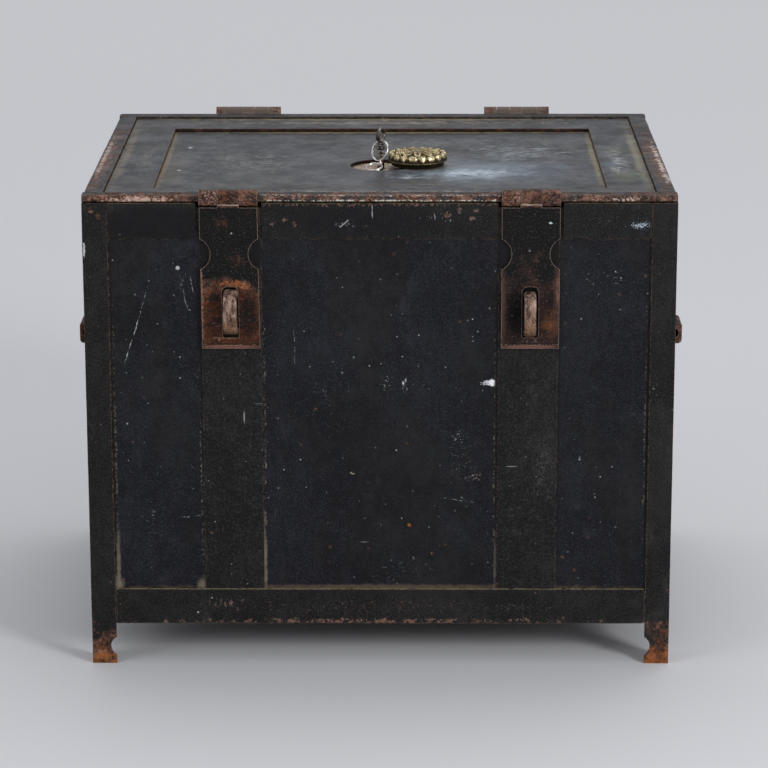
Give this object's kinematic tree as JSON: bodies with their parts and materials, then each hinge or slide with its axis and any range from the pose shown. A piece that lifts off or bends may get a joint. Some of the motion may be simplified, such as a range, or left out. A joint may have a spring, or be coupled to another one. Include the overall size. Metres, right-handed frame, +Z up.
{
  "type": "strongbox safe",
  "caption": "Iron strongbox on corner-post feet, with a framed hinged lid, hasps over staples, bail handles, and a key lock in the lid that throws bolts under the rim.",
  "frame": {"origin": "on the floor, below the middle of the outline from the staples at the front to the hinges at the back", "axes": "+Z up, +X to the right as seen from the front, +Y from the hasps at the front to the hinges at the back"},
  "size_m": [0.681, 0.5404, 0.567],
  "materials": {
    "frame_paint": "old black paint, rubbed to rust on its edges",
    "panel_paint": "old blue-black paint, scratched",
    "inner_paint": "dull dark primer with rust bloom",
    "lid_paint": "old grey-blue paint with grime in its corners",
    "rusty_iron": "forged iron, rust brown with traces of black paint",
    "worn_iron": "bare iron rubbed bright on its edges",
    "lock_steel": "oiled dull steel",
    "key_iron": "dark polished iron",
    "ring_steel": "bright plated steel",
    "cover_brass": "dull cast brass, dark in its recesses"
  },
  "bodies": {
    "chest": {"corner_post_front_left": "frame_paint", "corner_post_front_right": "frame_paint", "corner_post_back_left": "frame_paint", "corner_post_back_right": "frame_paint", "front_top_rail_left": "frame_paint", "front_top_rail_middle": "frame_paint", "front_top_rail_right": "frame_paint", "front_bottom_rail": "frame_paint", "back_top_rail": "frame_paint", "back_bottom_rail": "frame_paint", "left_top_rail": "frame_paint", "right_top_rail": "frame_paint", "left_bottom_rail": "frame_paint", "right_bottom_rail": "frame_paint", "front_stile_left": "frame_paint", "front_stile_right": "frame_paint", "front_plate": "panel_paint", "back_plate": "panel_paint", "left_plate": "panel_paint", "right_plate": "panel_paint", "bottom_plate": "inner_paint", "inner_rim": "inner_paint", "hinge_leaf_left": "rusty_iron", "hinge_leaf_right": "rusty_iron", "handle_bracket_left": "rusty_iron", "handle_bracket_right": "rusty_iron", "staple_left": "worn_iron", "staple_right": "worn_iron", "hinge_pin_left": "worn_iron", "hinge_pin_right": "worn_iron"},
    "lid": {"lid_border_front": "lid_paint", "lid_border_back": "lid_paint", "lid_border_left": "lid_paint", "lid_border_right": "lid_paint", "lid_flat_front": "lid_paint", "lid_flat_back": "lid_paint", "lid_flat_left": "lid_paint", "lid_flat_right": "lid_paint", "lid_panel": "lid_paint", "hasp_hinge_leaf_left": "rusty_iron", "hasp_hinge_leaf_right": "rusty_iron", "hasp_pin_left": "worn_iron", "hasp_pin_right": "worn_iron", "escutcheon": "rusty_iron", "cover_pin": "worn_iron", "lock_case": "lock_steel"},
    "hasp_left": {"hasp_left": "rusty_iron"},
    "hasp_right": {"hasp_right": "rusty_iron"},
    "keyhole_cover": {"keyhole_cover": "cover_brass"},
    "lock_cam": {"lock_cam": "lock_steel"},
    "bolt_front": {"bolt_front": "lock_steel"},
    "bolt_back": {"bolt_back": "lock_steel"},
    "bolt_left": {"bolt_left": "lock_steel"},
    "bolt_right": {"bolt_right": "lock_steel"},
    "key": {"key": "key_iron"},
    "key_ring": {"key_ring": "ring_steel"},
    "ring_link": {"ring_link": "ring_steel"},
    "spare_ring": {"spare_ring": "ring_steel"},
    "handle_left": {"handle_bail_left": "rusty_iron"},
    "handle_right": {"handle_bail_right": "rusty_iron"}
  },
  "joints": [
    {"name": "lid_open", "type": "hinge", "parent": "chest", "child": "lid", "pos_m": [0, 0.26335, 0.53], "axis": [-1, 0, 0], "range_deg": [0, 100]},
    {"name": "hasp_left_swing", "type": "hinge", "parent": "lid", "child": "hasp_left", "pos_m": [-0.1625, -0.24715, 0.527], "axis": [-1, 0, 0], "range_deg": [0, 200]},
    {"name": "hasp_right_swing", "type": "hinge", "parent": "lid", "child": "hasp_right", "pos_m": [0.1625, -0.24715, 0.527], "axis": [-1, 0, 0], "range_deg": [0, 200]},
    {"name": "cover_swing", "type": "hinge", "parent": "lid", "child": "keyhole_cover", "pos_m": [0.0208, -0.03915, 0.528], "axis": [0, 0, 1], "range_deg": [-30, 30]},
    {"name": "key_turn", "type": "hinge", "parent": "lid", "child": "lock_cam", "pos_m": [0, -0.04015, 0.511], "axis": [0, 0, -1], "range_deg": [0, 90]},
    {"name": "key_withdraw", "type": "slide", "parent": "lock_cam", "child": "key", "axis": [0, 0, -1], "range_m": [-0.055, 0]},
    {"name": "key_ring_swing", "type": "hinge", "parent": "key", "child": "key_ring", "pos_m": [0, -0.04015, 0.553], "axis": [-0.9397, 0.342, 0], "range_deg": [0, 50]},
    {"name": "ring_link_swing", "type": "hinge", "parent": "key_ring", "child": "ring_link", "pos_m": [-0.00297, -0.04832, 0.53149], "axis": [-0.9397, 0.342, 0], "range_deg": [0, 30]},
    {"name": "spare_ring_swing", "type": "hinge", "parent": "ring_link", "child": "spare_ring", "pos_m": [-0.00297, -0.04832, 0.52809], "axis": [-0.9397, 0.342, 0], "range_deg": [0, 25]},
    {"name": "bolt_front_slide", "type": "slide", "parent": "lid", "child": "bolt_front", "axis": [0, -1, 0], "range_m": [0, 0.012]},
    {"name": "bolt_back_slide", "type": "slide", "parent": "lid", "child": "bolt_back", "axis": [0, 1, 0], "range_m": [0, 0.012]},
    {"name": "bolt_left_slide", "type": "slide", "parent": "lid", "child": "bolt_left", "axis": [-1, 0, 0], "range_m": [0, 0.012]},
    {"name": "bolt_right_slide", "type": "slide", "parent": "lid", "child": "bolt_right", "axis": [1, 0, 0], "range_m": [0, 0.012]},
    {"name": "handle_left_swing", "type": "hinge", "parent": "chest", "child": "handle_left", "pos_m": [-0.331, 0.00285, 0.3415], "axis": [0, 1, 0], "range_deg": [0, 170]},
    {"name": "handle_right_swing", "type": "hinge", "parent": "chest", "child": "handle_right", "pos_m": [0.331, 0.00285, 0.3415], "axis": [0, -1, 0], "range_deg": [0, 170]}
  ],
  "couplings": [
    {"joint": "bolt_front_slide", "follows": "key_turn", "m_per_rad": 0.0076394},
    {"joint": "bolt_back_slide", "follows": "key_turn", "m_per_rad": 0.0076394},
    {"joint": "bolt_left_slide", "follows": "key_turn", "m_per_rad": 0.0076394},
    {"joint": "bolt_right_slide", "follows": "key_turn", "m_per_rad": 0.0076394}
  ]
}
